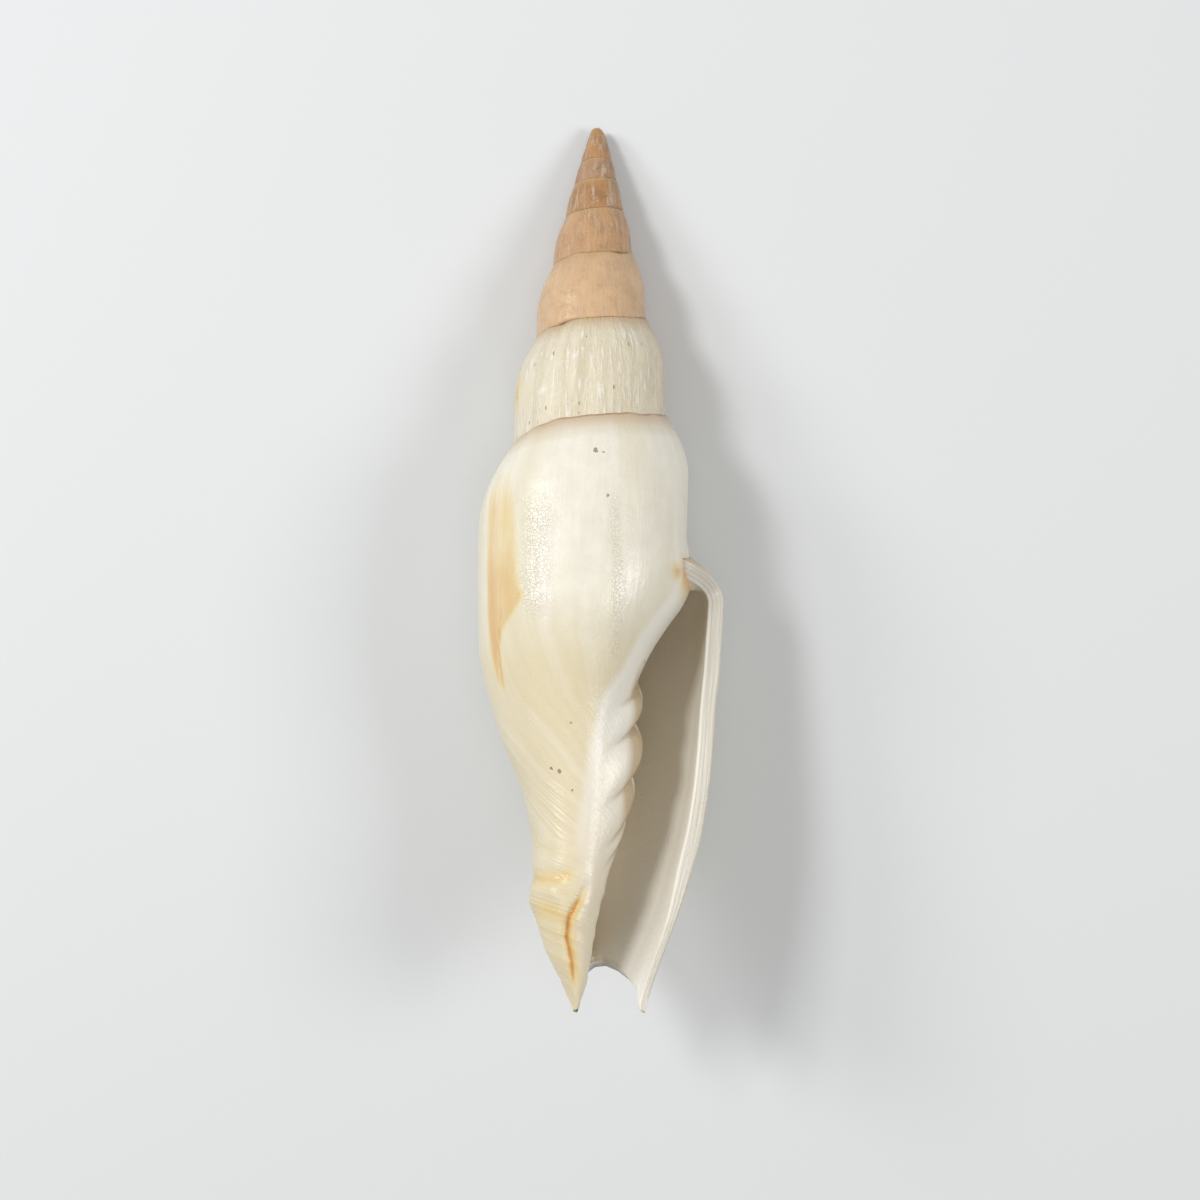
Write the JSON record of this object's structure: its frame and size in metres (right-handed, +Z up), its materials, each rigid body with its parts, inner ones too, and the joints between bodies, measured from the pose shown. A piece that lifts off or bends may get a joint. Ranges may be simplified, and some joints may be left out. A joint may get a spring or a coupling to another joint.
{
  "type": "mitre seashell",
  "caption": "Tall slender spiral seashell with a long pointed spire, a narrow mouth, pillar folds and a notched foot, lying mouth up.",
  "frame": {"origin": "on the table, under the middle of the shell's box", "axes": "+Z up, out of the mouth; +Y along the shell towards the tip of the spire, which lies 13 degrees low; +X towards the outer lip"},
  "size_m": [0.0326, 0.1172, 0.0305],
  "materials": {
    "shell": "gloss"
  },
  "bodies": {
    "root": {"shell": "shell"}
  },
  "joints": []
}
